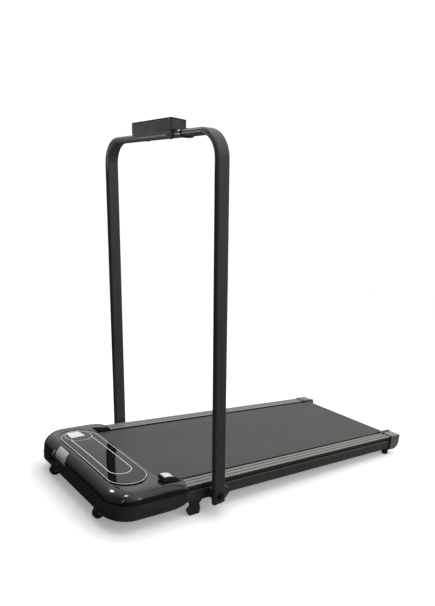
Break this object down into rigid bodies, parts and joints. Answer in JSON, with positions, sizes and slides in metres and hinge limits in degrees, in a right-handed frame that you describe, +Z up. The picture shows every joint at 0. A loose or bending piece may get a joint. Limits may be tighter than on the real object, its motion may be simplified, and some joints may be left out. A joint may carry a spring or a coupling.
{
  "type": "folding treadmill",
  "caption": "Low walking deck with a motor hood, a running belt, grey foot rails and a hoop handrail with a small console that folds down flat to the deck.",
  "frame": {"origin": "on the floor, at the middle of the bounding box", "axes": "+Z up from the floor, +Y from the motor hood towards the tail, +X to the left of a walker who faces the hood"},
  "size_m": [0.6008, 1.2446, 1.0663],
  "materials": {
    "gloss_black": "moulded gloss black plastic",
    "panel_black": "high gloss black plastic panel",
    "matte_black": "fine textured black plastic",
    "circuit_green": "coated circuit board",
    "switch_red": "translucent red plastic",
    "heat_sink": "extruded, as drawn",
    "motor_steel": "black enamel",
    "bare_steel": "ground and zinc plated",
    "black_rubber": "matt black rubber",
    "belt_grey": "fine woven print on dark grey walking belt",
    "deck_board": "waxed dark fibreboard",
    "frame_black": "satin black powder coat",
    "foot_rail_grey": "ribbed grey plastic",
    "cap_grey": "satin grey plastic",
    "foot_black": "matt black plastic",
    "key_grey": "satin dark grey plastic",
    "button_grey": "satin dark grey plastic"
  },
  "bodies": {
    "deck": {"hood_cover": "gloss_black", "hood_panel": "panel_black", "hood_base": "matte_black", "power_inlet": "matte_black", "roller_guard_left": "matte_black", "roller_guard_right": "matte_black", "display_board": "circuit_green", "control_box": "heat_sink", "motor_body": "motor_steel", "motor_saddle": "motor_steel", "drive_shaft": "bare_steel", "tail_shaft": "bare_steel", "tension_bolt_left": "bare_steel", "tension_bolt_right": "bare_steel", "wheel_axle_left": "bare_steel", "wheel_axle_right": "bare_steel", "drive_belt": "black_rubber", "deck_cushion_front": "black_rubber", "deck_cushion_middle": "black_rubber", "deck_cushion_rear": "black_rubber", "rear_foot_left": "black_rubber", "rear_foot_right": "black_rubber", "running_belt": "belt_grey", "deck_board": "deck_board", "cross_plate": "frame_black", "cross_tie_front": "frame_black", "cross_tie_middle": "frame_black", "cross_tie_rear": "frame_black", "side_rail_left": "frame_black", "side_rail_right": "frame_black", "wheel_fork_left": "frame_black", "wheel_fork_right": "frame_black", "pivot_bracket_left": "frame_black", "pivot_bracket_right": "frame_black", "pivot_bolt_left": "frame_black", "pivot_bolt_right": "frame_black", "foot_rail_left": "foot_rail_grey", "foot_rail_right": "foot_rail_grey", "end_cap_left": "cap_grey", "end_cap_right": "cap_grey", "front_foot_left": "foot_black", "front_foot_right": "foot_black"},
    "handrail": {"handrail_tube": "frame_black", "console_body": "matte_black", "console_face": "panel_black", "clamp_collar": "matte_black", "end_plug_left": "matte_black", "end_plug_right": "matte_black", "console_screw_left": "bare_steel", "console_screw_right": "bare_steel"},
    "start_stop_button": {"start_stop_button": "button_grey"},
    "speed_up_button": {"speed_up_button": "button_grey"},
    "speed_down_button": {"speed_down_button": "button_grey"},
    "power_rocker": {"power_switch": "switch_red"},
    "safety_key": {"safety_key": "key_grey"},
    "wheel_left": {"transport_wheel_left": "black_rubber"},
    "wheel_right": {"transport_wheel_right": "black_rubber"},
    "drive_roller": {"drive_roller": "bare_steel"},
    "tail_roller": {"tail_roller": "bare_steel"},
    "motor_rotor": {"motor_rotor": "bare_steel"}
  },
  "joints": [
    {"name": "handrail_fold", "type": "hinge", "parent": "deck", "child": "handrail", "pos_m": [0, -0.31604, 0.06113], "axis": [-1, 0, 0], "range_deg": [0, 97.8]},
    {"name": "start_stop_button_press", "type": "slide", "parent": "handrail", "child": "start_stop_button", "axis": [0, 0.0492, -0.9988], "range_m": [0, 0.001], "stiffness_N_per_m": 400, "springref_m": -0.0008},
    {"name": "speed_up_button_press", "type": "slide", "parent": "handrail", "child": "speed_up_button", "axis": [0, 0.0492, -0.9988], "range_m": [0, 0.001], "stiffness_N_per_m": 400, "springref_m": -0.0008},
    {"name": "speed_down_button_press", "type": "slide", "parent": "handrail", "child": "speed_down_button", "axis": [0, 0.0492, -0.9988], "range_m": [0, 0.001], "stiffness_N_per_m": 400, "springref_m": -0.0008},
    {"name": "power_rocker_tip", "type": "hinge", "parent": "deck", "child": "power_rocker", "pos_m": [-0.104, -0.61097, 0.05619], "axis": [0, 0.0171, 0.9999], "range_deg": [0, 14]},
    {"name": "safety_key_pull", "type": "slide", "parent": "deck", "child": "safety_key", "axis": [0, 0.0171, 0.9999], "range_m": [0, 0.03]},
    {"name": "wheel_left_roll", "type": "hinge", "parent": "deck", "child": "wheel_left", "pos_m": [0.145, -0.60478, 0.02058], "axis": [1, 0, 0], "continuous": true},
    {"name": "wheel_right_roll", "type": "hinge", "parent": "deck", "child": "wheel_right", "pos_m": [-0.145, -0.60478, 0.02058], "axis": [1, 0, 0], "continuous": true},
    {"name": "drive_roller_spin", "type": "hinge", "parent": "deck", "child": "drive_roller", "pos_m": [0, -0.48595, 0.06795], "axis": [1, 0, 0], "continuous": true},
    {"name": "tail_roller_spin", "type": "hinge", "parent": "deck", "child": "tail_roller", "pos_m": [0, 0.58489, 0.04958], "axis": [1, 0, 0], "continuous": true},
    {"name": "motor_rotor_spin", "type": "hinge", "parent": "deck", "child": "motor_rotor", "pos_m": [0, -0.55985, 0.07432], "axis": [1, 0, 0], "continuous": true}
  ],
  "couplings": [
    {"joint": "tail_roller_spin", "follows": "drive_roller_spin", "ratio": 1},
    {"joint": "motor_rotor_spin", "follows": "drive_roller_spin", "ratio": 2.85}
  ]
}
